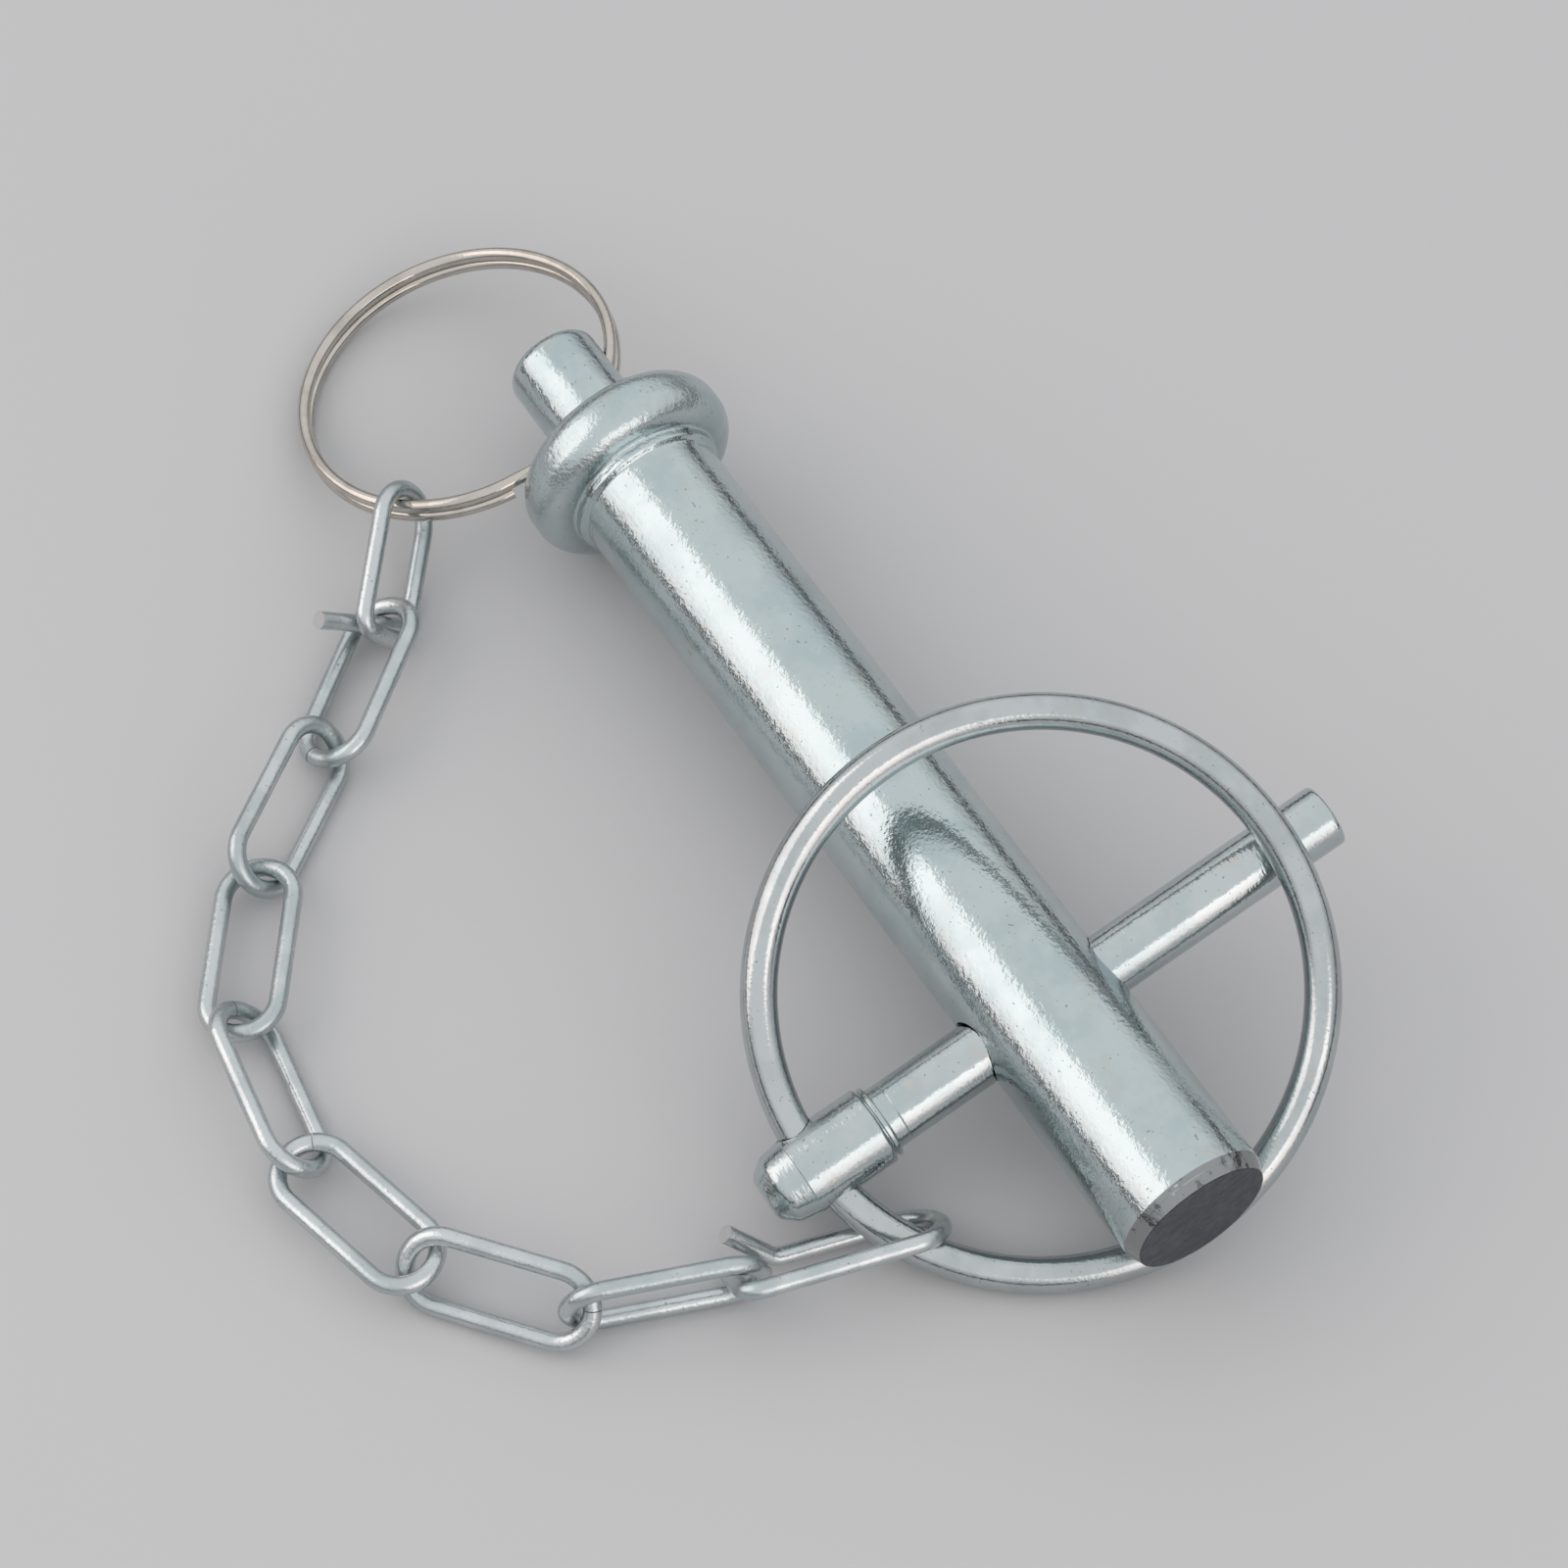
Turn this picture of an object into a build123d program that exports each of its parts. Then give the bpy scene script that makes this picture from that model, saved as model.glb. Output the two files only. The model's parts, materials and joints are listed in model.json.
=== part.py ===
# Retaining pin with a split ring, a nine-link chain, a linch pin and its snap hoop.
# Lies on its side on a level surface. The origin is the centre of the collar's seating face,
# +X runs along the pin towards its tip and +Z is up. Millimetres.
import os
from math import acos, asin, atan2, cos, degrees, hypot, pi, radians, sin, sqrt, tan

from build123d import *

# ---- main pin ----
shank_dia = 19.0
pin_length = 122.5          # seating face to tip
tip_chamfer_len = 2.0
tip_chamfer_depth = 0.8
collar_dia = 28.4
collar_thick = 8.3
collar_round = 3.5
shoulder_dia = 20.4         # small step under the collar
shoulder_len = 1.3
shoulder_fade = 0.5         # cone from the shoulder down to the shank
spigot_dia = 12.4
spigot_len = 15.0
spigot_round = 1.6
ring_hole_dia = 5.8
ring_hole_x = -13.4         # where the split ring's hole crosses the axis
ring_hole_yaw = 31.0        # hole slants back on the far side
ring_hole_rise = 3.0
linch_hole_inset = 32.8     # tip to the linch pin's hole
linch_hole_clearance = 0.8  # on the linch pin's diameter

# ---- linch pin ----
linch_dia = 8.0
linch_turn = 12.0           # cross hole leans this far from level
linch_tip_reach = 41.5      # pin axis to the plain end
linch_neck_reach = 24.2     # pin axis to the head's step
linch_neck_dia = 9.4
linch_neck_len = 0.8
linch_head_dia = 10.1
linch_head_len = 10.8
linch_nose_len = 5.0        # blunt nose beyond the turned head
linch_nose_round = 3.3
linch_nose_step = 0.15      # the nose is this much slimmer than the head
linch_tip_break = 0.6       # edge breaks on the plain end and the head
linch_head_break = 0.4
hoop_hole_reach = 32.5      # pin axis to the hoop's hole
hoop_hole_dia = 5.0

# ---- snap hoop ----
hoop_wire = 4.5
hoop_radius = 33.4          # centreline
hoop_skew = 3.4             # the hoop's hole is drilled a little off square
hoop_over_gap = 0.35        # rest clearance above the linch pin
hoop_under_gap = 0.3        # rest clearance below the main pin's tip

# ---- split ring ----
ring_wire = 1.7
ring_radius = 20.9
ring_coil_gap = 0.06
ring_step = 34.0            # degrees over which the wire climbs from one turn to the next
ring_step_at = 22.0         # degrees round from the spigot to the middle of that climb
ring_end_gap = 1.5          # degrees from each blunt end to the climb

# ---- chain ----
wire = 2.3
link_spread = 9.0           # leg to leg, centre lines
link_inside = 21.1
link_gap = 0.16             # play left between touching wires
open_gap = 0.45             # play left at the joint to the last link
seam_gap = 0.12
cross_gap = 0.12
cross_bend = 2.3            # bend radius of the crossed ends
# the first link's two cut ends are bent across its end; the long one, inside, passes under the other leg
first_trim = 3.6            # how much shorter than the others this leaves it
first_stub = 4.2            # how far the long end passes the opposite leg
first_stop = 1.2            # how far the short end stops inside it
first_long_lean = -14.0     # degrees outwards (-) or inwards (+) from square
first_short_lean = 4.0
# the last link has one cut end bent across and the other leg kinked up over it
last_extra = 2.2            # how much longer than the others
last_pass = 1.5             # how far the crossed end passes the opposite leg
last_short = 7.0            # the kink starts this far short of the crossed end
last_kink = 45.0            # degrees
last_kink_len = 7.0
last_kink_in = 0.35         # how much of the kink goes towards the other leg
# the way each link points, seen from above, before the run is closed
headings = [-43, -54, -56, -39, -10, 12, 37, 68, 75]
# lean of each link about its own length; positive leans its face to the left of its heading
leans = [60, -28, 49, -11, 43, -2, -46, -93, 46]
# how far each link sits off the line between its joints, in wire diameters
sits = [0.05, 0.01, 0.6, 0.13, 0.15, 0.3, 0.22, -0.02, 0.27]
# height of each link-to-link joint above the surface, in wire diameters
joint_heights = [1.92, 1.52, 1.59, 1.75, 1.74, 2.0, 2.44, 2.44]
# first guess at the play in each joint, ring end first, in wire diameters; refined below
plays = [0.25, 1.04, 0.27, 0.79, 0.45, 0.43, 0.46, 0.35, 0.4, 1.04]
# butt seam of each closed link: which end, and how far round its bend
seams = [None, (1, 25), (-1, -30), (1, 35), (-1, 10), (-1, -40), (1, -12), (-1, 30), None]
ring_catch = 80.0           # degrees round the split ring from the spigot to the first link
hoop_catch = 12.5           # arc from the hoop's hole to the last link


def unit(v):
    return v * (1 / v.length)


def bisect(f, lo, hi):
    flo = f(lo)
    for _ in range(60):
        mid = (lo + hi) / 2
        fm = f(mid)
        if (fm > 0) == (flo > 0):
            lo, flo = mid, fm
        else:
            hi = mid
    return (lo + hi) / 2


shank_r = shank_dia / 2
linch_hole_x = pin_length - linch_hole_inset
collar_r = collar_dia / 2
rim_round = min(collar_round, collar_r - shoulder_dia / 2 - 0.2, collar_thick / 2 - 0.1)
linch_r = linch_dia / 2
hoop_r = hoop_wire / 2
wire_r = wire / 2
bend_r = link_spread / 2
Y = Vector(0, 1, 0)
Z = Vector(0, 0, 1)


# ---- where the hoop sits, worked out in the pin's own axes ----
def hoop_axes(ax, up, roll):
    """Hoop directions for a pin pointing along ax: across its hole, and out over the linch pin."""
    lin = Y * cos(radians(linch_turn)) + up * sin(radians(linch_turn))
    rise = ax.cross(lin)
    across = ax * cos(radians(roll)) - rise * sin(radians(roll))
    over = across.cross(lin)
    clear = asin((linch_r + hoop_r + hoop_over_gap) / (2 * hoop_radius))
    out = lin * cos(clear) + over * sin(clear)
    sk = radians(hoop_skew)
    return lin, across * cos(sk) + out * sin(sk), out * cos(sk) - across * sin(sk)


def hoop_under_tip(roll):
    """Smallest distance from the pin's axis to the half of the hoop that passes beneath it."""
    lin, across, out = hoop_axes(Vector(1, 0, 0), Z, roll)
    c = Vector(linch_hole_x, 0, 0) - lin * hoop_hole_reach + out * hoop_radius
    pts = [c + (across * cos(t) + out * sin(t)) * hoop_radius for t in [radians(k / 2) for k in range(-90, 120)]]
    return min(hypot(p.Y, p.Z) for p in pts)


hoop_roll = bisect(lambda r: hoop_under_tip(r) - (shank_r + hoop_r + hoop_under_gap), 5, 60)


def rest(pitch):
    """Axes of a pin pitched tip-up on its collar's rim, and the height of the surface below the seat."""
    ax = Vector(cos(pitch), 0, sin(pitch))
    up = Vector(-sin(pitch), 0, cos(pitch))
    back = -(collar_thick - rim_round)
    return ax, up, back * sin(pitch) - rim_round - (collar_r - rim_round) * cos(pitch)


def hoop_bottom(pitch):
    ax, up, floor = rest(pitch)
    lin, across, out = hoop_axes(ax, up, hoop_roll)
    c = ax * linch_hole_x - lin * hoop_hole_reach + out * hoop_radius
    return c.Z - hoop_radius * hypot(across.Z, out.Z) - hoop_r - floor


pitch = bisect(hoop_bottom, -0.2, 0.3)
pin_ax, pin_up, floor = rest(pitch)
seat = Vector(0, 0, 0)
lin_ax, hoop_across, hoop_out = hoop_axes(pin_ax, pin_up, hoop_roll)
linch_mid = seat + pin_ax * linch_hole_x
hoop_pivot = linch_mid - lin_ax * hoop_hole_reach
hoop_sag = (linch_head_dia / 2) ** 2 / (4 * hoop_radius)
hoop_mid = hoop_pivot + hoop_out * (hoop_radius - hoop_sag)

# ---- split ring: threaded through the spigot, its far side down on the surface ----
ya = radians(ring_hole_yaw)
ri = radians(ring_hole_rise)
ring_pivot = seat + pin_ax * ring_hole_x
ring_ax = unit((Y * cos(ya) - pin_ax * sin(ya)) * cos(ri) + pin_up * sin(ri))
ring_flat = unit(-pin_ax + ring_ax * pin_ax.dot(ring_ax))
ring_side = ring_ax.cross(ring_flat)
ring_sag = (spigot_dia / 2 / cos(ya)) ** 2 / (4 * ring_radius)
ring_rise = ring_wire + ring_coil_gap


def ring_dir(a):
    return ring_flat * cos(a) + ring_side * sin(a)


def ring_bottom(a):
    d = ring_dir(a)
    n = ring_ax.cross(d)
    c = ring_pivot + d * (ring_radius - ring_sag)
    return c.Z - ring_wire / 2 - ring_radius * hypot(ring_ax.Z, d.Z) - abs(n.Z) * ring_rise / 2 - floor


ring_swing = bisect(ring_bottom, radians(-60), radians(10))
ring_out = ring_dir(ring_swing)
ring_n = ring_ax.cross(ring_out)
ring_mid = ring_pivot + ring_out * (ring_radius - ring_sag)

# ---- chain: every link is a path of straight runs and tangent arcs ----
straight = link_inside / 2 + wire_r - bend_r      # link centre to bend centre
cross_tilt = asin((wire + cross_gap) / link_spread)
ring_catch_dir = -ring_out * cos(radians(ring_catch)) - ring_n.cross(-ring_out) * sin(radians(ring_catch))
ring_catch_pt = ring_mid + ring_catch_dir * ring_radius
ca = hoop_catch / hoop_radius
hoop_catch_pt = hoop_mid + (-hoop_out * cos(ca) + hoop_across * sin(ca)) * hoop_radius


def link_axes(p, q, lean):
    d = unit(q - p)
    side = unit(Z.cross(d))
    up = d.cross(side)
    r = radians(lean)
    return d, up * sin(r) - side * cos(r), side * sin(r) + up * cos(r)


def plain_path(m, d, u, seam_end, seam_at):
    """Closed link with a butt joint: starts and stops either side of the seam."""
    near = m + d * (seam_end * straight)
    far = m - d * (seam_end * straight)

    def at(c, s, ang):
        return c + (d * (s * cos(ang)) + u * sin(ang)) * bend_r

    a0 = radians(seam_at) + seam_gap / 2 / bend_r
    a1 = radians(seam_at) - seam_gap / 2 / bend_r
    top = pi / 2
    return [("arc", at(near, seam_end, a0), at(near, seam_end, (a0 + top) / 2), at(near, seam_end, top)),
            ("line", at(near, seam_end, top), at(far, -seam_end, top)),
            ("arc", at(far, -seam_end, top), at(far, -seam_end, 0), at(far, -seam_end, -top)),
            ("line", at(far, -seam_end, -top), at(near, seam_end, -top)),
            ("arc", at(near, seam_end, -top), at(near, seam_end, (a1 - top) / 2), at(near, seam_end, a1))]


def bent_end(p0, d, v, turn, length):
    """Wire that arrives along d, turns that far towards v and runs straight to its cut end."""

    def at(a):
        return p0 + v * (cross_bend * (1 - cos(a))) + d * (cross_bend * sin(a))

    p1 = at(turn)
    return [("arc", p0, at(turn / 2), p1), ("line", p1, p1 + (v * sin(turn) + d * cos(turn)) * length)]


def across(p0, d, v, lean, cover, tilt):
    """Bent end that covers that much of the link's width; tilt is out of the link's plane."""
    turn = radians(90 + lean)
    length = (cover - cross_bend * (1 - cos(turn)) * cos(tilt)) / (sin(turn) * cos(tilt))
    return bent_end(p0, d, v, turn, length)


def reverse(path):
    return [(s[0],) + tuple(reversed(s[1:])) for s in reversed(path)]


def open_link(m, d, u, end_a, end_b):
    """Two legs and the round end between two bent ends; end_a is on the +u leg."""
    far = m - d * straight
    pa = far + u * bend_r
    pb = far - u * bend_r
    return (reverse(end_a) + [("line", end_a[0][1], pa), ("arc", pa, far - d * bend_r, pb),
            ("line", pb, end_b[0][1])] + end_b)


def first_path(m, d, u, n):
    outer = straight + bend_r - cross_bend - first_trim
    inner = outer - wire - cross_gap
    v = u * cos(cross_tilt) - n * sin(cross_tilt)
    long_end = across(m + d * inner - u * bend_r, d, v, first_long_lean, link_spread + first_stub, cross_tilt)
    short_end = across(m + d * outer + u * bend_r, d, -u, first_short_lean, link_spread - first_stop, 0)
    return open_link(m, d, u, short_end, long_end)


def last_path(m, d, u, n):
    outer = straight + bend_r - cross_bend + last_extra
    up = unit(n + u * last_kink_in)
    crossed = across(m - d * outer + u * bend_r, -d, -u, 0, link_spread + last_pass, 0)
    start = outer + cross_bend - last_short
    kinked = bent_end(m - d * start - u * bend_r, -d, up, radians(last_kink), last_kink_len)
    return open_link(m, -d, u, crossed, kinked)


def lerp(p, q, t):
    return p + (q - p) * t


def sample(path, step=0.35):
    """Points along a path, close enough together to measure clearances with."""
    pts = []
    for seg in path:
        if seg[0] == "line":
            k = max(1, int((seg[2] - seg[1]).length / step))
            pts += [lerp(seg[1], seg[2], i / k) for i in range(k + 1)]
        else:
            a, b, c = seg[1:]
            ab, ac = b - a, c - a
            nn = ab.cross(ac)
            cen = a + (nn.cross(ab) * ac.dot(ac) + ac.cross(nn) * ab.dot(ab)) * (1 / (2 * nn.dot(nn)))
            ra = a - cen
            ax = unit(nn)
            rb = ax.cross(ra)
            full = atan2((c - cen).dot(rb), (c - cen).dot(ra)) % (2 * pi)
            k = max(2, int(full * ra.length / step))
            pts += [cen + ra * cos(full * i / k) + rb * sin(full * i / k) for i in range(k + 1)]
    return [(p.X, p.Y, p.Z) for p in pts]


def nearest(pa, pb, about):
    """Shortest distance between two point lists close to a given point."""
    ax, ay, az = about.X, about.Y, about.Z
    lim = (2 * link_spread) ** 2 / 2
    pa = [p for p in pa if (p[0] - ax) ** 2 + (p[1] - ay) ** 2 + (p[2] - az) ** 2 < lim]
    pb = [p for p in pb if (p[0] - ax) ** 2 + (p[1] - ay) ** 2 + (p[2] - az) ** 2 < lim]
    return sqrt(min((a[0] - b[0]) ** 2 + (a[1] - b[1]) ** 2 + (a[2] - b[2]) ** 2 for a in pa for b in pb))


def circle_points(c, a, b, r, mid, span, k):
    return [(p.X, p.Y, p.Z) for p in
            [c + (a * cos(mid + span * (i / k - 0.5)) + b * sin(mid + span * (i / k - 0.5))) * r for i in range(k + 1)]]


ring_lo = circle_points(ring_mid - ring_n * (ring_wire + ring_coil_gap) * 0.5, ring_catch_dir,
                        ring_n.cross(ring_catch_dir), ring_radius, 0, 0.9, 60)
ring_hi = circle_points(ring_mid + ring_n * (ring_wire + ring_coil_gap) * 0.5, ring_catch_dir,
                        ring_n.cross(ring_catch_dir), ring_radius, 0, 0.9, 60)
hoop_near = circle_points(hoop_mid, -hoop_out, hoop_across, hoop_radius, ca, 0.7, 80)


def lay_chain(slack):
    """Joint points and link frames for the given extra play at each joint."""
    n = len(leans)

    def reach_in(i, j):
        if j == 0:
            full = bend_r - wire_r - ring_wire / 2
        elif j == n:
            full = bend_r - wire_r - hoop_r
        else:
            full = sqrt((bend_r - wire_r) ** 2 - (sits[i] * wire) ** 2)
            if i == 0 and j == 1:
                full -= first_trim
            if i == n - 1 and j == n - 1:
                full += last_extra
        return full - slack[j] / (1 if j in (0, n) else 2)

    pitch_of = [2 * straight + reach_in(i, i) + reach_in(i, i + 1) for i in range(n)]
    heights = [ring_catch_pt.Z] + [floor + h * wire for h in joint_heights] + [hoop_catch_pt.Z]
    flat = [sqrt(pitch_of[i] ** 2 - (heights[i + 1] - heights[i]) ** 2) for i in range(n)]
    want = Vector(hoop_catch_pt.X - ring_catch_pt.X, hoop_catch_pt.Y - ring_catch_pt.Y, 0)
    mean = sum(headings) / n

    def run(curl):
        return [(sum(f * cos(radians((h - mean) * curl)) for f, h in zip(flat, headings))),
                (sum(f * sin(radians((h - mean) * curl)) for f, h in zip(flat, headings)))]

    curl = bisect(lambda c: hypot(*run(c)) - want.length, 0.3, 1.8)
    x, y = run(curl)
    turn = degrees(atan2(want.Y, want.X) - atan2(y, x))
    pts = [ring_catch_pt]
    for i in range(n):
        a = radians((headings[i] - mean) * curl + turn)
        p = pts[-1]
        pts.append(Vector(p.X + flat[i] * cos(a), p.Y + flat[i] * sin(a), heights[i + 1]))
    frames = []
    for i in range(n):
        d, u, nn = link_axes(pts[i], pts[i + 1], leans[i])
        frames.append((pts[i] + d * (straight + reach_in(i, i)) + u * (sits[i] * wire), d, u, nn))
    return pts, frames


def link_paths(frames):
    out = []
    for i, (m, d, u, nn) in enumerate(frames):
        if i == 0:
            out.append(first_path(m, d, u, nn))
        elif i == len(frames) - 1:
            out.append(last_path(m, d, u, nn))
        else:
            out.append(plain_path(m, d, u, seams[i][0], seams[i][1]))
    return out


slack = [p * wire for p in plays]
for _ in range(12):
    joints, link_frames = lay_chain(slack)
    paths = link_paths(link_frames)
    pts = [sample(p) for p in paths]
    reach = [min(nearest(pts[0], ring_lo, joints[0]), nearest(pts[0], ring_hi, joints[0])) - wire_r - ring_wire / 2]
    reach += [nearest(pts[i], pts[i + 1], joints[i + 1]) - wire for i in range(len(pts) - 1)]
    reach += [nearest(pts[-1], hoop_near, joints[-1]) - wire_r - hoop_r]
    short = [(open_gap if i == len(reach) - 2 else link_gap) - g for i, g in enumerate(reach)]
    if max(abs(s) for s in short) < 0.01:
        break
    slack = [s + 0.9 * more for s, more in zip(slack, short)]

# ---- solids ----
os.makedirs("parts", exist_ok=True)
pin_plane = Plane(origin=seat, x_dir=pin_ax, z_dir=-Y)


def run_path(path):
    for seg in path:
        if seg[0] == "line":
            Line(seg[1], seg[2])
        else:
            ThreePointArc(seg[1], seg[2], seg[3])


def cross_plane(path):
    """Section plane at the start of a path."""
    seg = path[0]
    if seg[0] == "line":
        return Plane(origin=seg[1], z_dir=seg[2] - seg[1])
    a, b, c = seg[1:]
    return Plane(origin=a, z_dir=Edge.make_three_point_arc(a, b, c) % 0)


# main pin: turned profile, then the two cross holes
with BuildPart() as hitch_pin:
    with BuildSketch(pin_plane):
        with BuildLine():
            Polyline((-collar_thick - spigot_len, 0), (-collar_thick - spigot_len, spigot_dia / 2),
                     (-collar_thick, spigot_dia / 2), (-collar_thick, collar_r), (0, collar_r),
                     (0, shoulder_dia / 2), (shoulder_len, shoulder_dia / 2), (shoulder_len + shoulder_fade, shank_r),
                     (pin_length - tip_chamfer_len, shank_r), (pin_length, shank_r - tip_chamfer_depth),
                     (pin_length, 0), (-collar_thick - spigot_len, 0))
        make_face()
    revolve(axis=Axis(seat, pin_ax))
    rims = [e for e in edges().filter_by(GeomType.CIRCLE) if abs(e.radius - collar_r) < 0.01]
    fillet(rims, rim_round)
    ends = [e for e in edges().filter_by(GeomType.CIRCLE) if abs(e.radius - spigot_dia / 2) < 0.01
            and (e.center() - seat).dot(pin_ax) < -collar_thick - 1]
    fillet(ends, spigot_round)
    with BuildSketch(Plane(origin=linch_mid, x_dir=pin_ax, z_dir=lin_ax)):
        Circle((linch_dia + linch_hole_clearance) / 2)
    extrude(amount=shank_dia, both=True, mode=Mode.SUBTRACT)
    with BuildSketch(Plane(origin=ring_pivot, x_dir=ring_n, z_dir=ring_ax)):
        Circle(ring_hole_dia / 2)
    extrude(amount=spigot_dia, both=True, mode=Mode.SUBTRACT)
hitch_pin.part.label = "hitch_pin"
export_step(hitch_pin.part, "parts/hitch_pin.step")

# linch pin: turned along its own axis, then drilled for the hoop
with BuildPart() as linch_pin:
    head_end = -(linch_neck_reach + linch_head_len)
    nose_end = head_end - linch_nose_len
    nose_r = linch_head_dia / 2 - linch_nose_step
    with BuildSketch(Plane(origin=linch_mid, x_dir=lin_ax, z_dir=lin_ax.cross(Z))):
        with BuildLine():
            Polyline((head_end, linch_head_dia / 2), (head_end, nose_r), (nose_end, nose_r), (nose_end, 0),
                     (linch_tip_reach, 0), (linch_tip_reach, linch_r - linch_tip_break),
                     (linch_tip_reach - linch_tip_break, linch_r), (-linch_neck_reach + linch_neck_len, linch_r),
                     (-linch_neck_reach + linch_neck_len, linch_neck_dia / 2),
                     (-linch_neck_reach, linch_neck_dia / 2),
                     (-linch_neck_reach, linch_head_dia / 2 - linch_head_break),
                     (-linch_neck_reach - linch_head_break, linch_head_dia / 2), (head_end, linch_head_dia / 2))
        make_face()
    revolve(axis=Axis(linch_mid, lin_ax))
    nose = [e for e in edges().filter_by(GeomType.CIRCLE) if abs(e.radius - nose_r) < 0.01
            and (e.center() - linch_mid).dot(lin_ax) < nose_end + 0.1]
    fillet(nose, min(linch_nose_round, nose_r - 0.3, linch_nose_len - 0.3))
    with BuildSketch(Plane(origin=hoop_pivot, x_dir=hoop_out, z_dir=hoop_across)):
        Circle(hoop_hole_dia / 2)
    extrude(amount=linch_head_dia, both=True, mode=Mode.SUBTRACT)
linch_pin.part.label = "linch_pin"
export_step(linch_pin.part, "parts/linch_pin.step")

# snap hoop: one closed ring of round wire
with BuildPart() as hoop:
    with BuildSketch(Plane(origin=hoop_mid - hoop_out * hoop_radius, x_dir=hoop_out, z_dir=hoop_across)):
        Circle(hoop_r)
    revolve(axis=Axis(hoop_mid, hoop_across.cross(hoop_out)))
hoop.part.label = "hoop"
export_step(hoop.part, "parts/hoop.step")

# split ring: two turns of wire, one climb between them, blunt ends either side of it
def ring_at(deg, level):
    a = radians(deg)
    d = ring_out * -cos(a) - ring_n.cross(ring_out) * -sin(a)
    return ring_mid + d * ring_radius + ring_n * (level * ring_rise / 2)


def ring_along(deg):
    return unit(ring_at(deg + 0.1, 0) - ring_at(deg - 0.1, 0))


def ring_climb(deg, level, way):
    """Tangent arc from one turn to the middle of the climb; way is +1 leaving, -1 arriving."""
    p = ring_at(deg, level)
    c = ring_at(deg + way * ring_step / 2, 0) - p
    t = ring_along(deg) * way
    side = unit(t - c * (t.dot(c) / c.dot(c)))
    lift = c.length / 2 * tan(acos(t.dot(unit(c))) / 2)
    return p, p + c / 2 + side * lift, p + c


with BuildPart() as split_ring:
    low_end = ring_step_at - ring_step / 2
    high_start = ring_step_at + ring_step / 2
    first = high_start + ring_end_gap - 360
    last = low_end - ring_end_gap + 360
    with BuildLine() as ring_run:
        ThreePointArc(ring_at(first, -1), ring_at(first + 90, -1), ring_at(first + 180, -1))
        ThreePointArc(ring_at(first + 180, -1), ring_at((first + 180 + low_end) / 2, -1), ring_at(low_end, -1))
        ThreePointArc(*ring_climb(low_end, -1, 1))
        ThreePointArc(*reversed(ring_climb(high_start, 1, -1)))
        ThreePointArc(ring_at(high_start, 1), ring_at(high_start + 90, 1), ring_at(high_start + 180, 1))
        ThreePointArc(ring_at(high_start + 180, 1), ring_at((high_start + 180 + last) / 2, 1), ring_at(last, 1))
    with BuildSketch(Plane(origin=ring_at(first, -1), z_dir=ring_along(first))):
        Circle(ring_wire / 2)
    sweep(path=ring_run.wires()[0])
split_ring.part.label = "split_ring"
export_step(split_ring.part, "parts/split_ring.step")

# chain: link 1 and link 9 are open wires with crossed ends, the rest are butted
with BuildPart() as chain_link_1:
    with BuildLine() as run_1:
        run_path(paths[0])
    with BuildSketch(cross_plane(paths[0])):
        Circle(wire_r)
    sweep(path=run_1.wires()[0])
chain_link_1.part.label = "chain_link_1"
export_step(chain_link_1.part, "parts/chain_link_1.step")

with BuildPart() as chain_link_2:
    with BuildLine() as run_2:
        run_path(paths[1])
    with BuildSketch(cross_plane(paths[1])):
        Circle(wire_r)
    sweep(path=run_2.wires()[0])
chain_link_2.part.label = "chain_link_2"
export_step(chain_link_2.part, "parts/chain_link_2.step")

with BuildPart() as chain_link_3:
    with BuildLine() as run_3:
        run_path(paths[2])
    with BuildSketch(cross_plane(paths[2])):
        Circle(wire_r)
    sweep(path=run_3.wires()[0])
chain_link_3.part.label = "chain_link_3"
export_step(chain_link_3.part, "parts/chain_link_3.step")

with BuildPart() as chain_link_4:
    with BuildLine() as run_4:
        run_path(paths[3])
    with BuildSketch(cross_plane(paths[3])):
        Circle(wire_r)
    sweep(path=run_4.wires()[0])
chain_link_4.part.label = "chain_link_4"
export_step(chain_link_4.part, "parts/chain_link_4.step")

with BuildPart() as chain_link_5:
    with BuildLine() as run_5:
        run_path(paths[4])
    with BuildSketch(cross_plane(paths[4])):
        Circle(wire_r)
    sweep(path=run_5.wires()[0])
chain_link_5.part.label = "chain_link_5"
export_step(chain_link_5.part, "parts/chain_link_5.step")

with BuildPart() as chain_link_6:
    with BuildLine() as run_6:
        run_path(paths[5])
    with BuildSketch(cross_plane(paths[5])):
        Circle(wire_r)
    sweep(path=run_6.wires()[0])
chain_link_6.part.label = "chain_link_6"
export_step(chain_link_6.part, "parts/chain_link_6.step")

with BuildPart() as chain_link_7:
    with BuildLine() as run_7:
        run_path(paths[6])
    with BuildSketch(cross_plane(paths[6])):
        Circle(wire_r)
    sweep(path=run_7.wires()[0])
chain_link_7.part.label = "chain_link_7"
export_step(chain_link_7.part, "parts/chain_link_7.step")

with BuildPart() as chain_link_8:
    with BuildLine() as run_8:
        run_path(paths[7])
    with BuildSketch(cross_plane(paths[7])):
        Circle(wire_r)
    sweep(path=run_8.wires()[0])
chain_link_8.part.label = "chain_link_8"
export_step(chain_link_8.part, "parts/chain_link_8.step")

with BuildPart() as chain_link_9:
    with BuildLine() as run_9:
        run_path(paths[8])
    with BuildSketch(cross_plane(paths[8])):
        Circle(wire_r)
    sweep(path=run_9.wires()[0])
chain_link_9.part.label = "chain_link_9"
export_step(chain_link_9.part, "parts/chain_link_9.step")
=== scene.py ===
import bpy
import json
import random
from math import cos, pi, radians, sin, tan
from mathutils import Matrix, Vector, noise as relief_noise


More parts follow.
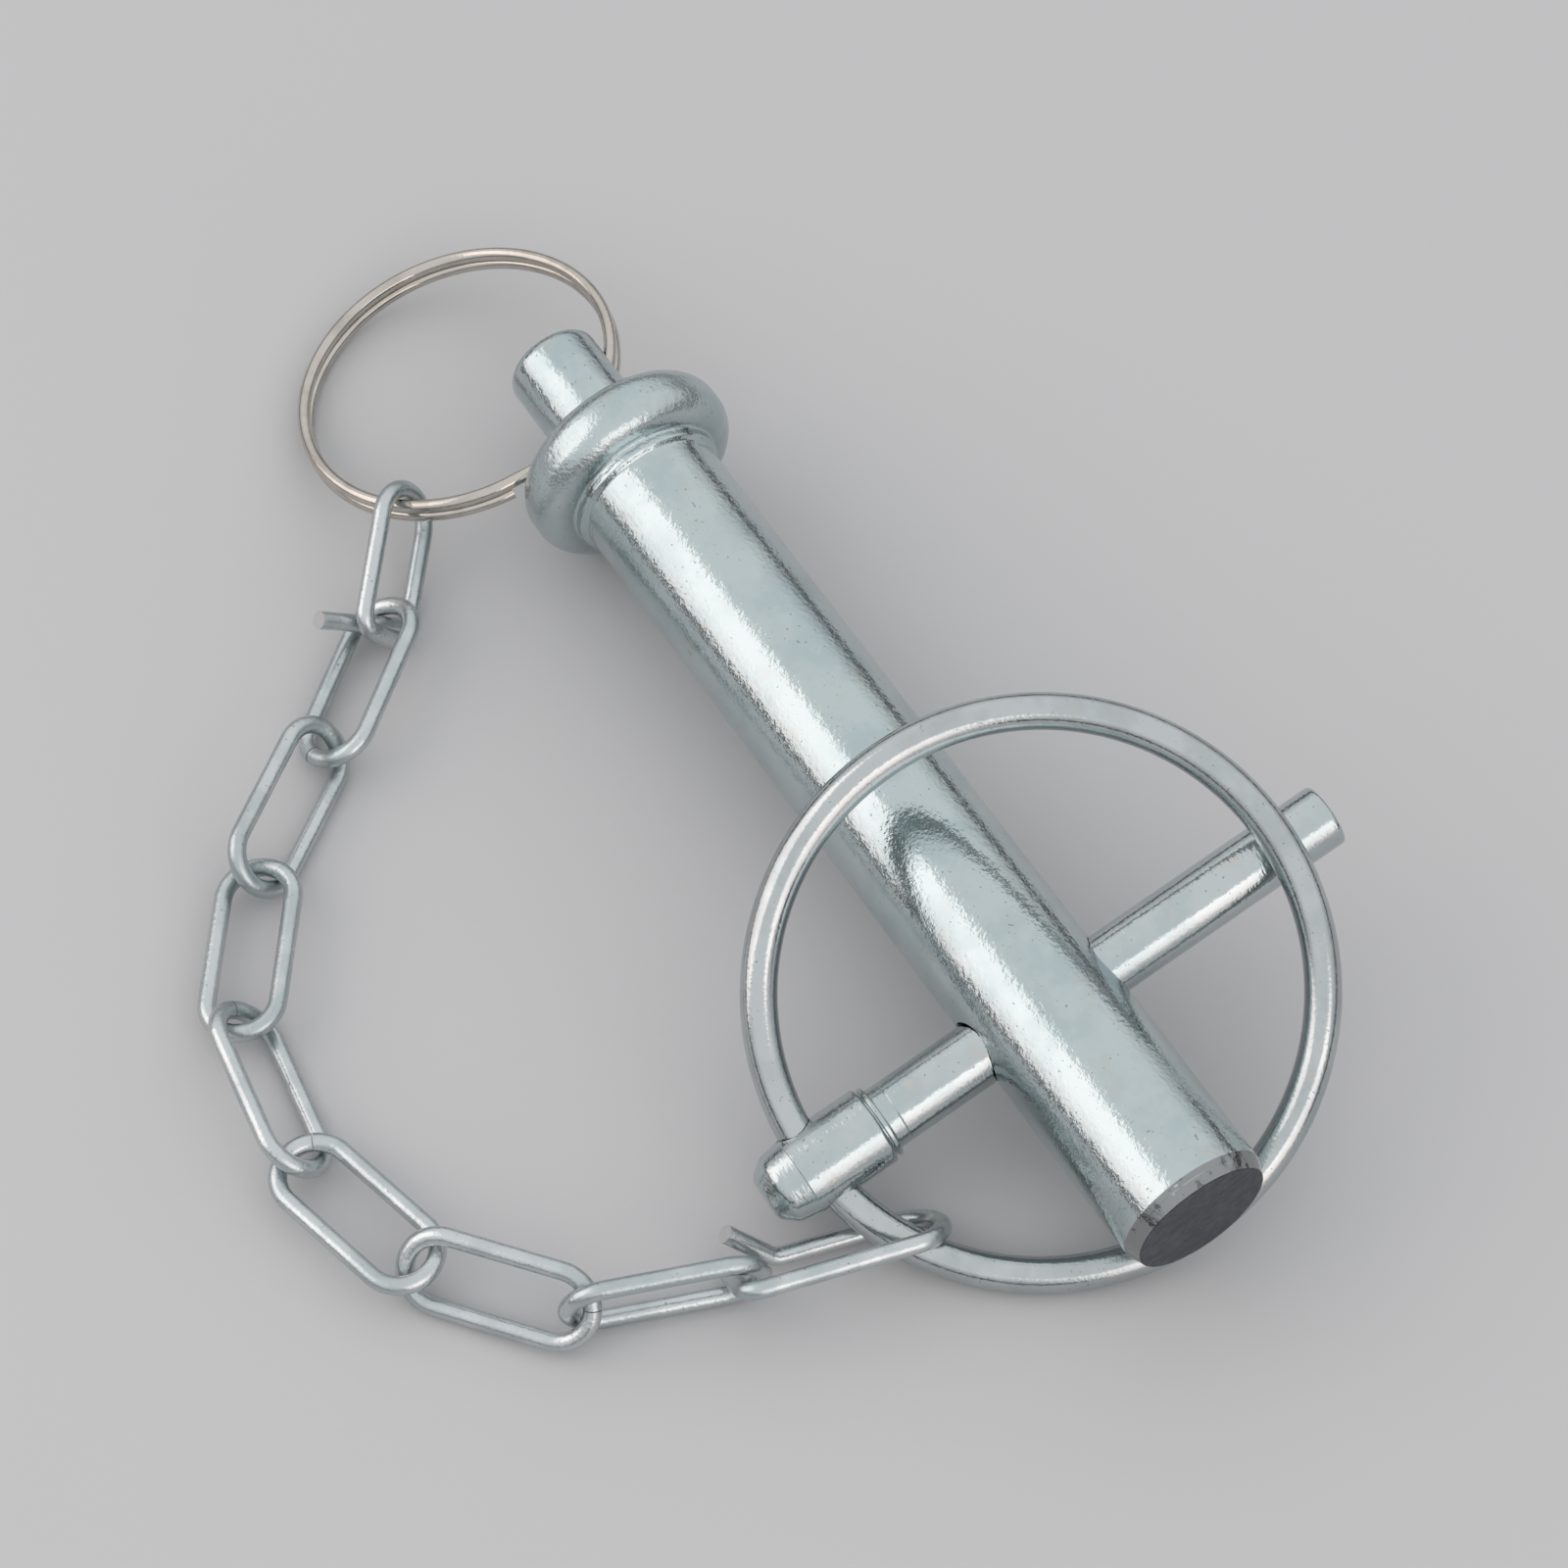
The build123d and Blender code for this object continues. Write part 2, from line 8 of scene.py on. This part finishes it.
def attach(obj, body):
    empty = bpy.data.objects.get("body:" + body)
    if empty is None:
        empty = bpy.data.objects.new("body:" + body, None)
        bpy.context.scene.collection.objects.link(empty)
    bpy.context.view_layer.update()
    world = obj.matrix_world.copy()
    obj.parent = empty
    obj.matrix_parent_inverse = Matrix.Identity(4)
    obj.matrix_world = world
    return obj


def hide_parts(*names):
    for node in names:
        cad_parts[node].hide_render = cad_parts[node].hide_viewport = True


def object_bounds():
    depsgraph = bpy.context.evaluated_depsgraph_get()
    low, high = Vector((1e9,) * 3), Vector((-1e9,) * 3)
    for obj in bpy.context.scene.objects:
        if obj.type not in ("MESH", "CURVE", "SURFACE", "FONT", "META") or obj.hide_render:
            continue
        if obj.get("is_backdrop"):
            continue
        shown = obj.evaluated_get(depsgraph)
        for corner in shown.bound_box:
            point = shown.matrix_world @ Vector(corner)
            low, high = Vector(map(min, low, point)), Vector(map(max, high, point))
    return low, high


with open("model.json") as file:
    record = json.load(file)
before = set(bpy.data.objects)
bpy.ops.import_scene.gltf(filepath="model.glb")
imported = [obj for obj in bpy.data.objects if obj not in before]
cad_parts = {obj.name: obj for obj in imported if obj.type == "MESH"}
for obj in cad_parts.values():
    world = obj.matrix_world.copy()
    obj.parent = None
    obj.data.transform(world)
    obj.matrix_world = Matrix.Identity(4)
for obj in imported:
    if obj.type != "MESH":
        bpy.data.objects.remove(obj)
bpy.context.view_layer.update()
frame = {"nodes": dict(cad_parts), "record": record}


# ---- the hitch pin ----
# A forged and turned steel pin: a straight shank, a rounded collar with a shoulder under it, and a
# short drilled spigot for the split ring. Zinc plated, with the steel's fine grain showing through,
# faint bluish and straw patches, and small dark specks.
class Shade:
    """A value in a material. Operators add Math nodes; node() adds any other node."""

    def __init__(self, tree, socket=None):
        self.tree = tree
        self.socket = socket

    def node(self, kind, settings=None, inputs=None, out=0):
        made = self.tree.nodes.new(kind)
        for name, value in (settings or {}).items():
            setattr(made, name, value)
        for name, value in (inputs or {}).items():
            if isinstance(value, Shade):
                self.tree.links.new(value.socket, made.inputs[name])
            else:
                made.inputs[name].default_value = value
        return Shade(self.tree, made.outputs[out] if len(made.outputs) else None)

    def maths(self, operation, first, second):
        return self.node("ShaderNodeMath", {"operation": operation}, {0: first, 1: second})

    def __add__(self, other):
        return self.maths("ADD", self, other)

    def __sub__(self, other):
        return self.maths("SUBTRACT", self, other)

    def __rsub__(self, other):
        return self.maths("SUBTRACT", other, self)

    def __mul__(self, other):
        return self.maths("MULTIPLY", self, other)

    __radd__ = __add__
    __rmul__ = __mul__

    def band(self, low, high):
        """0 below low, 1 above high and smooth between."""
        return self.node("ShaderNodeMapRange", {"interpolation_type": "SMOOTHSTEP"},
                         {"Value": self, "From Min": low, "From Max": high})

    def tint(self, at_0, at_1):
        """The colour between two, by this value."""
        return self.node("ShaderNodeMix", {"data_type": "RGBA"}, {0: self, 6: at_0, 7: at_1}, out=2)


def noise(shade, place, size_mm, detail, roughness):
    """Noise whose features are about size_mm across."""
    return shade.node("ShaderNodeTexNoise", {"noise_dimensions": "3D"},
                      {"Vector": place, "Scale": 1000 / size_mm, "Detail": detail,
                       "Roughness": roughness})


def along(shade, place, axis):
    """How far along an axis a point lies, in mm."""
    return shade.node("ShaderNodeVectorMath", {"operation": "DOT_PRODUCT"},
                      {0: place, 1: tuple(axis * 1000)}, out=1)


def zinc_colour(shade, place, metal, deep, warm):
    """Zinc plate's colour, with its deep patches, warm bloom and dark specks.

    The patches and the specks are also given back, for the roughness.
    """
    patches = noise(shade, place, 8.0, 3.0, 0.6).band(0.40, 0.66)
    bloom = noise(shade, place, 4.0, 4.0, 0.65).band(0.54, 0.74)
    specks = noise(shade, place, 0.5, 1.0, 0.4).band(0.71, 0.78)
    colour = (bloom * 0.7).tint(patches.tint(metal, deep), warm)
    return (specks * 0.5).tint(colour, (0.13, 0.15, 0.16, 1)), patches, specks


def bumped(shade, depth_mm, height, under=None):
    """The normal of a relief that is depth_mm times the height, laid over the one under it."""
    inputs = {"Strength": 1.0, "Distance": depth_mm / 1000, "Height": height}
    if under:
        inputs["Normal"] = under
    return shade.node("ShaderNodeBump", inputs=inputs)


def grained(shade, place, fine_mm, fine_depth, broad_mm, broad_depth):
    """The normal of a plated surface: broad ripples over fine grain, all in mm."""
    grain = bumped(shade, fine_depth, noise(shade, place, fine_mm, 2.0, 0.55))
    return bumped(shade, broad_depth, noise(shade, place, broad_mm, 2.0, 0.5), grain)


def new_material(name):
    """A material with no nodes yet, and the Shade that adds them."""
    made = bpy.data.materials.new(name)
    made.use_nodes = True
    made.node_tree.nodes.clear()
    return made, Shade(made.node_tree)


def finish_metal(shade, colour, rough, normal):
    """Ends a metal's material in its shader."""
    metal = shade.node("ShaderNodeBsdfPrincipled", inputs={
        "Base Color": colour, "Metallic": 1.0, "Roughness": rough, "Normal": normal})
    shade.node("ShaderNodeOutputMaterial", inputs={"Surface": metal})


def outline_of(corners, step):
    """Points along a turned outline, in mm.

    A corner is (along, radius, rounding), and step(along) is how far apart the points lie.
    """
    bent = []
    for k, (along_mm, radius, rounding) in enumerate(corners):
        corner = Vector((along_mm, radius))
        if rounding == 0:
            bent.append(corner)
            continue
        to_last = (Vector(corners[k - 1][:2]) - corner).normalized()
        to_next = (Vector(corners[k + 1][:2]) - corner).normalized()
        half = to_last.angle(to_next) / 2
        middle = corner + (to_last + to_next).normalized() * (rounding / sin(half))
        first = corner + to_last * (rounding / tan(half)) - middle
        last = corner + to_next * (rounding / tan(half)) - middle
        turn = pi - 2 * half
        count = max(3, int(rounding * turn / step(along_mm)))
        for i in range(count + 1):
            spoke = first * sin(turn * (1 - i / count)) + last * sin(turn * i / count)
            bent.append(middle + spoke / sin(turn))
    points = [bent[0]]
    for here in bent[1:]:
        start = points[-1]
        run = here - start
        count = max(1, int(run.length / step((start.x + here.x) / 2) + 0.5))
        points += [start + run * (i / count) for i in range(1, count + 1)]
    return points


def lathe(name, origin, axis, top, outline, around, relief=None):
    """A closed turned solid of so many faces around, from an outline in mm.

    relief(along, angle, point) is how far its surface stands out there, all in mm.
    """
    side = axis.cross(top)
    verts = [origin + axis * (outline[0].x / 1000)]
    for k in range(1, len(outline) - 1):
        here = outline[k]
        slope = outline[k + 1] - outline[k - 1]
        out = Vector((-slope.y, slope.x)).normalized()
        for i in range(around):
            angle = 2 * pi * i / around
            spoke = top * cos(angle) + side * sin(angle)
            point = axis * here.x + spoke * here.y
            if relief:
                point += (axis * out.x + spoke * out.y) * relief(here.x, angle, point)
            verts.append(origin + point / 1000)
    verts.append(origin + axis * (outline[-1].x / 1000))
    end = len(verts) - 1
    last_ring = end - around
    faces = [(0, 1 + (i + 1) % around, 1 + i) for i in range(around)]
    for ring in range(1, last_ring, around):
        for i in range(around):
            after = (i + 1) % around
            faces.append((ring + i, ring + after, ring + around + after, ring + around + i))
    faces += [(last_ring + i, last_ring + (i + 1) % around, end) for i in range(around)]
    mesh = bpy.data.meshes.new(name)
    mesh.from_pydata(verts, [], faces)
    mesh.update()
    piece = bpy.data.objects.new(name, mesh)
    bpy.context.scene.collection.objects.link(piece)
    return piece


def drill(piece, centre, way, diameter_mm, reach_mm):
    """Cuts a round hole as far as reach_mm to each side of its centre."""
    radius = diameter_mm / 2
    rod = [Vector((-reach_mm, 0)), Vector((-reach_mm, radius)),
           Vector((reach_mm, radius)), Vector((reach_mm, 0))]
    cutter = lathe("drill", centre, way, way.orthogonal().normalized(), rod, around=96)
    cut = piece.modifiers.new("hole", "BOOLEAN")
    cut.operation = "DIFFERENCE"
    cut.solver = "EXACT"
    cut.object = cutter
    drilled = piece.evaluated_get(bpy.context.evaluated_depsgraph_get())
    piece.data = bpy.data.meshes.new_from_object(drilled)
    piece.modifiers.clear()
    bpy.data.objects.remove(cutter)


def finish_solid(piece, material, node):
    """Smooth faces with crisp corners, one material, and the CAD node that the piece stands for."""
    piece.data.polygons.foreach_set("use_smooth", [True] * len(piece.data.polygons))
    piece.data.set_sharp_from_angle(angle=radians(32))
    piece.data.materials.clear()
    piece.data.materials.append(material)
    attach(piece, node)
    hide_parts(node)


joints = {joint["name"]: joint for joint in frame["record"]["behaviour"]["joints"]}
pin_axis = Vector(frame["record"]["mounts"][0]["axis"]).normalized()
pin_top = (Vector((0, 0, 1)) - pin_axis * pin_axis.z).normalized()
pin_side = pin_axis.cross(pin_top)
seat = Vector((0, 0, 0))
linch_axis = -Vector(joints["linch_slide"]["axis"]).normalized()
hoop_hole = Vector(joints["hoop_swing"]["pos_m"])
ring_hole = Vector(joints["ring_swing"]["pos_m"])
ring_hole_axis = Vector(joints["ring_swing"]["axis"]).normalized()

# the hitch pin's sizes in mm; along it, 0 is the collar's face that seats
pin_end, shank_radius = 122.5, 9.5
chamfer_start, chamfer_radius, tip_radius = 120.5, 9.1, 8.7
shoulder_end, shoulder_radius = 1.3, 10.2
collar_back, collar_radius, collar_round = -8.3, 14.2, 3.5
spigot_back, spigot_radius = -23.3, 6.2
linch_hole_diameter, linch_hole_reach = 8.8, 25
ring_hole_diameter, ring_hole_reach = 5.8, 9.2
hoop_to_shank = 32.5
hair = 0.01     # past a face by this much still counts as on it

# dents on the chamfer: along in mm, round in degrees, radius and depth in mm
dents = [(121.3, 20, 0.95, 0.17), (121.8, 25, 0.6, 0.12),
         (121.1, 337, 0.9, 0.15), (120.7, 330, 0.7, 0.13)]
knock_draw = random.Random(11)
dents += [(knock_draw.uniform(120.5, 122.3), knock_draw.uniform(40, 320),
           knock_draw.uniform(0.4, 0.9), knock_draw.uniform(0.05, 0.14)) for k in range(16)]
knocks = []
for s, degrees_round, radius, depth in dents:
    spoke = pin_top * cos(radians(degrees_round)) + pin_side * sin(radians(degrees_round))
    knocks.append((pin_axis * s + spoke * chamfer_radius, radius, depth))


def pin_relief(s, angle, point):
    """Forging lumps on the collar, faint ripples elsewhere, and the knocks on the chamfer."""
    if collar_back - hair < s < hair:
        return relief_noise.noise(point / 1.2) * 0.016 + relief_noise.noise(point / 0.6) * 0.012
    if s < 0:
        return relief_noise.noise(point / 3.2) * 0.035
    if s < chamfer_start - 0.3:
        return relief_noise.noise(point / 2.3) * 0.008
    out = relief_noise.noise(point / 1.3) * 0.018
    for centre, radius, depth in knocks:
        gap = (point - centre).length / radius
        if gap < 1:
            out -= depth * (1 - gap * gap) ** 2
    return out


def pin_step(s):
    """How close the rings are: finest on the chamfer, then on the collar and the shoulder."""
    if s < collar_back - hair:
        return 0.5
    if s < 2:
        return 0.28
    return 0.85 if s <= chamfer_start - 0.1 else 0.16


# the chamfer has a fine turned step near its tip end
pin_outline = outline_of(
    [(spigot_back, 0, 0), (spigot_back, spigot_radius, 1.6), (collar_back, spigot_radius, 0.2),
     (collar_back, collar_radius, collar_round), (0, collar_radius, collar_round),
     (0, shoulder_radius, 0.35), (shoulder_end, shoulder_radius, 0.25),
     (1.8, shank_radius, 0.3), (chamfer_start, shank_radius, 0.12), (121.2, 9.24, 0.05),
     (121.26, 9.19, 0.05), (pin_end, tip_radius, 0.14), (pin_end, 0, 0)], pin_step)
hitch_pin = lathe("hitch_pin_body", seat, pin_axis, pin_top, pin_outline,
                  around=232, relief=pin_relief)
linch_cross = hoop_hole + linch_axis * (hoop_to_shank / 1000)
drill(hitch_pin, linch_cross, linch_axis, linch_hole_diameter, linch_hole_reach)
drill(hitch_pin, ring_hole, ring_hole_axis, ring_hole_diameter, ring_hole_reach)

pin_zinc, shade = new_material("pin_zinc")
place = shade.node("ShaderNodeTexCoord", out="Object")
colour, patches, specks = zinc_colour(
    shade, place, (0.545, 0.615, 0.625, 1), (0.47, 0.555, 0.575, 1), (0.565, 0.575, 0.54, 1))
reach = along(shade, place, pin_axis)
tip_face = reach.band(pin_end - 0.10, pin_end - 0.03)
chamfer = reach.band(chamfer_start - 0.10, chamfer_start + 0.02) - tip_face
scuffed = noise(shade, place, 1.6, 3.0, 0.6).band(0.56, 0.70)
colour = chamfer.tint(colour, scuffed.tint((0.31, 0.325, 0.33, 1), (0.13, 0.14, 0.145, 1)))
# The tip face's near-black colour is painted shade: it stands for the dark reflection that the flat
# end shows. Its mottling is the face's own.
painted_shade_mottle = noise(shade, place, 1.5, 4.0, 0.65).band(0.40, 0.75)
colour = tip_face.tint(colour, painted_shade_mottle.tint((0.050, 0.062, 0.073, 1), (0.095, 0.108, 0.118, 1)))
collar = reach.band(collar_back - 0.3, collar_back + 0.1) - reach.band(-0.6, 0)
finish_metal(shade, colour,
             0.12 + patches * 0.03 + specks * 0.1 + tip_face * 0.2 + collar * 0.1,
             bumped(shade, 0.06, collar * noise(shade, place, 0.5, 2.0, 0.5),
                    grained(shade, place, fine_mm=0.62, fine_depth=0.060,
                            broad_mm=1.5, broad_depth=0.012)))
finish_solid(hitch_pin, pin_zinc, "hitch_pin")


# ---- the linch pin ----
# A turned steel cross pin with a thick drilled head, domed at its end, and a small ring and groove
# below it. Zinc plated like the big pin, with the lathe's fine rings left on the head.

# its sizes in mm; along it, 0 is the hoop's hole, the nose is behind and the plain end ahead
nose_back, head_front, head_radius = -7.5, 8.3, 5.05
neck_radius = 4.7
groove_at, groove_radius = 10.95, 3.93
plain_end, stem_radius = 74.0, 4.0
hoop_hole_diameter, hoop_hole_reach = 5.0, 9


def linch_relief(s, angle, point):
    """The lathe's ridges on the head, and faint ones on the stem."""
    ridges = relief_noise.noise(Vector((s / 0.42, cos(angle) * 1.3, sin(angle) * 1.3)))
    if -2.45 < s < head_front - 0.1:
        return ridges * 0.020 + relief_noise.noise(point / 2.2) * 0.008
    return ridges * 0.003 + relief_noise.noise(point / 2.0) * 0.014


def linch_step(s):
    """How close the rings are: fine as far as the groove, wider on the stem."""
    return 0.14 if s < 11.2 else 0.6


def turned(shade, place, axis, squeeze):
    """Coordinates squeezed along an axis, so that noise on them runs round it like lathe marks."""
    extra = shade.node("ShaderNodeVectorMath", {"operation": "SCALE"},
                       {0: tuple(axis / 1000), 3: along(shade, place, axis) * (squeeze - 1)})
    return shade.node("ShaderNodeVectorMath", {"operation": "ADD"}, {0: place, 1: extra})


linch_outline = outline_of(
    [(nose_back, 0, 0), (nose_back, 2.8, 1.3), (-5.5, 4.45, 1.7), (-2.6, 4.93, 0.05),
     (-2.5, head_radius, 0.04), (head_front, head_radius, 0.45), (head_front, 4.3, 0.1),
     (8.55, 4.25, 0.08), (8.6, neck_radius, 0.1), (9.15, neck_radius, 0.2), (9.3, 4.05, 0.1),
     (groove_at - 0.1, stem_radius, 0.04), (groove_at, groove_radius, 0.03),
     (groove_at + 0.1, stem_radius, 0.04), (plain_end, stem_radius, 0.55), (plain_end, 0, 0)],
    linch_step)
linch_top = (Vector((0, 0, 1)) - linch_axis * linch_axis.z).normalized()
linch_pin = lathe("linch_pin_body", hoop_hole, linch_axis, linch_top, linch_outline,
                  around=168, relief=linch_relief)
hoop_hole_axis = Vector(joints["hoop_swing"]["axis"]).normalized()
drill(linch_pin, hoop_hole, hoop_hole_axis, hoop_hole_diameter, hoop_hole_reach)

linch_zinc, shade = new_material("linch_zinc")
place = shade.node("ShaderNodeTexCoord", out="Object")
colour, patches, specks = zinc_colour(
    shade, place, (0.56, 0.61, 0.615, 1), (0.49, 0.56, 0.575, 1), (0.60, 0.585, 0.545, 1))
rings = noise(shade, turned(shade, place, linch_axis, 4), 1.8, 2.0, 0.6)
from_hole = along(shade, place, linch_axis) - hoop_hole.dot(linch_axis) * 1000
sawn = from_hole.band(plain_end - 0.15, plain_end - 0.05)
finish_metal(shade, colour, 0.12 + patches * 0.03 + specks * 0.1 + sawn * 0.3,
             bumped(shade, 0.05, rings,
                    grained(shade, place, fine_mm=0.42, fine_depth=0.022,
                            broad_mm=1.4, broad_depth=0.020)))
finish_solid(linch_pin, linch_zinc, "linch_pin")


# ---- the hoop ----
# A sprung hoop of hard round wire, zinc plated. It passes through the linch pin's head and snaps
# over the shank to keep the linch pin in.
def dress(node, material):
    """Gives a CAD node this material alone."""
    slots = frame["nodes"][node].data.materials
    slots.clear()
    slots.append(material)


hoop_wire, shade = new_material("hoop_wire")
place = shade.node("ShaderNodeTexCoord", out="Object")
colour, patches, specks = zinc_colour(
    shade, place, (0.55, 0.585, 0.59, 1), (0.47, 0.51, 0.52, 1), (0.58, 0.56, 0.53, 1))
finish_metal(shade, colour, 0.13 + patches * 0.04 + specks * 0.12,
             grained(shade, place, fine_mm=0.4, fine_depth=0.022, broad_mm=2.0,
                     broad_depth=0.008))
dress("hoop", hoop_wire)


# ---- the split ring ----
# Two close turns of round spring wire that thread the spigot's hole. Nickel plated, smoother and
# warmer than the zinc, with a faint tarnish.
ring_steel, shade = new_material("ring_steel")
place = shade.node("ShaderNodeTexCoord", out="Object")
tarnish = noise(shade, place, 5.0, 3.0, 0.6).band(0.42, 0.70)
finish_metal(shade, tarnish.tint((0.60, 0.565, 0.52, 1), (0.50, 0.465, 0.42, 1)),
             0.075 + tarnish * 0.05,
             grained(shade, place, fine_mm=0.6, fine_depth=0.010, broad_mm=2.0,
                     broad_depth=0.012))
dress("split_ring", ring_steel)


# ---- the chain ----
# Nine links bent from zinc-plated wire. The first and the last close on the ring and the hoop
# with their sheared ends open, dull where the wire was cut; the others are welded shut.
wire_radius = 0.00115


def sheared_ends(node):
    """The middles of a wire's flat ends: the round patches of equal normal in its mesh."""
    mesh = frame["nodes"][node].data
    flats = {}
    for face in mesh.polygons:
        facing = tuple(round(part * 200) for part in face.normal)
        flats.setdefault(facing, []).append(face)
    ends = []
    for faces in flats.values():
        area = sum(face.area for face in faces)
        spot = sum((face.center * (face.area / area) for face in faces), Vector())
        across = max((mesh.vertices[v].co - spot).length for face in faces for v in face.vertices)
        if area > 0.89 * pi * wire_radius ** 2 and across < 1.13 * wire_radius:
            ends.append(spot)
    return ends


def disc_at(shade, place, spot):
    """1 within a wire's radius of a point, and 0 beyond it."""
    apart = shade.node("ShaderNodeVectorMath", {"operation": "DISTANCE"},
                       {0: place, 1: tuple(spot)}, out=1)
    return 1 - apart.band(wire_radius - 0.00003, wire_radius + 0.00013)


chain_zinc, shade = new_material("chain_zinc")
place = shade.node("ShaderNodeTexCoord", out="Object")
colour, patches, specks = zinc_colour(
    shade, place, (0.62, 0.66, 0.665, 1), (0.49, 0.55, 0.565, 1), (0.63, 0.625, 0.605, 1))
cut_ends = sheared_ends("chain_link_1") + sheared_ends("chain_link_9")
dull = sum(disc_at(shade, place, spot) for spot in cut_ends)
colour = dull.tint(colour, (0.62, 0.63, 0.63, 1))
finish_metal(shade, colour, 0.26 + patches * 0.06 + specks * 0.12 + dull * 0.24,
             grained(shade, place, fine_mm=0.5, fine_depth=0.045, broad_mm=1.2,
                     broad_depth=0.020))
for number in range(1, 10):
    dress(f"chain_link_{number}", chain_zinc)


# ---- the floor ----
# A plain pale sheet of matt board, wide enough to fill any view. The object lies on it, a hair's
# breadth above, so that the two don't touch.
lowest, highest = (Vector(corner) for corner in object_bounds())
floor_reach, floor_gap = 3.0, 0.00005
floor_mesh = bpy.data.meshes.new("floor")
floor_mesh.from_pydata([(-floor_reach, -floor_reach, 0), (floor_reach, -floor_reach, 0),
                        (floor_reach, floor_reach, 0), (-floor_reach, floor_reach, 0)],
                       [], [(0, 1, 2, 3)])
floor = bpy.data.objects.new("floor", floor_mesh)
floor.location = (0, 0, lowest.z - floor_gap)
bpy.context.scene.collection.objects.link(floor)
floor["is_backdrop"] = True
floor_paint, shade = new_material("floor_paint")
matt = shade.node("ShaderNodeBsdfPrincipled", inputs={
    "Base Color": (0.57, 0.575, 0.585, 1), "Roughness": 0.8, "Specular IOR Level": 0.2})
shade.node("ShaderNodeOutputMaterial", inputs={"Surface": matt})
floor_mesh.materials.append(floor_paint)


# ---- the light ----
# A soft dome that darkens towards the horizon, and two large softboxes, one beside the pin's
# length and a low one beyond its tip. Their faint warmth balances the zinc's blue.
world = bpy.data.worlds.new("studio")
bpy.context.scene.world = world
world.use_nodes = True
world.node_tree.nodes.clear()
shade = Shade(world.node_tree)
way = shade.node("ShaderNodeTexCoord", out="Generated")
rise = shade.node("ShaderNodeSeparateXYZ", inputs={"Vector": way}, out="Z")
height = rise.band(0.05, 0.20) * 0.55 + rise.band(0.10, 0.60) * 0.45
sky = height.tint((0.045, 0.047, 0.05, 1), (0.87, 0.875, 0.88, 1))
glow = shade.node("ShaderNodeBackground", inputs={"Color": sky, "Strength": 1.0})
shade.node("ShaderNodeOutputWorld", inputs={"Surface": glow})
object_middle = (lowest + highest) / 2


def softbox(name, azimuth, elevation, distance, wide, tall, watts):
    """A lamp that faces the object's middle, from an angle in degrees and a distance in metres."""
    lamp = bpy.data.lights.new(name, "AREA")
    lamp.shape = "RECTANGLE"
    lamp.size = wide
    lamp.size_y = tall
    lamp.energy = watts
    lamp.color = (1.0, 0.86, 0.82)
    made = bpy.data.objects.new(name, lamp)
    bpy.context.scene.collection.objects.link(made)
    a, e = radians(azimuth), radians(elevation)
    out = Vector((cos(a) * cos(e), sin(a) * cos(e), sin(e)))
    made.location = object_middle + out * distance
    made.rotation_euler = out.to_track_quat("Z", "Y").to_euler()


softbox("front_box", azimuth=-125, elevation=31, distance=1.2, wide=1.1, tall=1.15, watts=3.1)
softbox("side_box", azimuth=2, elevation=19, distance=1.2, wide=0.9, tall=0.95, watts=2.3)


# ---- the camera ----
# A long lens, high up beyond the pin's tip and looking steeply down, so that the pin runs away
# from it to the upper left.
camera_data = bpy.data.cameras.new("camera")
camera_data.sensor_width = 36.0
camera_data.lens = 116.685
camera_data.clip_start = 0.05
camera = bpy.data.objects.new("camera", camera_data)
bpy.context.scene.collection.objects.link(camera)
camera_place = Vector((0.30706, -0.18304, 0.53611))
right = Vector((0.5395, 0.8419, 0.0114)).normalized()
back = Vector((0.4199, -0.2807, 0.8631)).normalized()
up = back.cross(right)
turn = Matrix((right, up, back)).transposed().to_4x4()
camera.matrix_world = Matrix.Translation(camera_place) @ turn
bpy.context.scene.camera = camera
bpy.context.scene.view_settings.view_transform = "Standard"
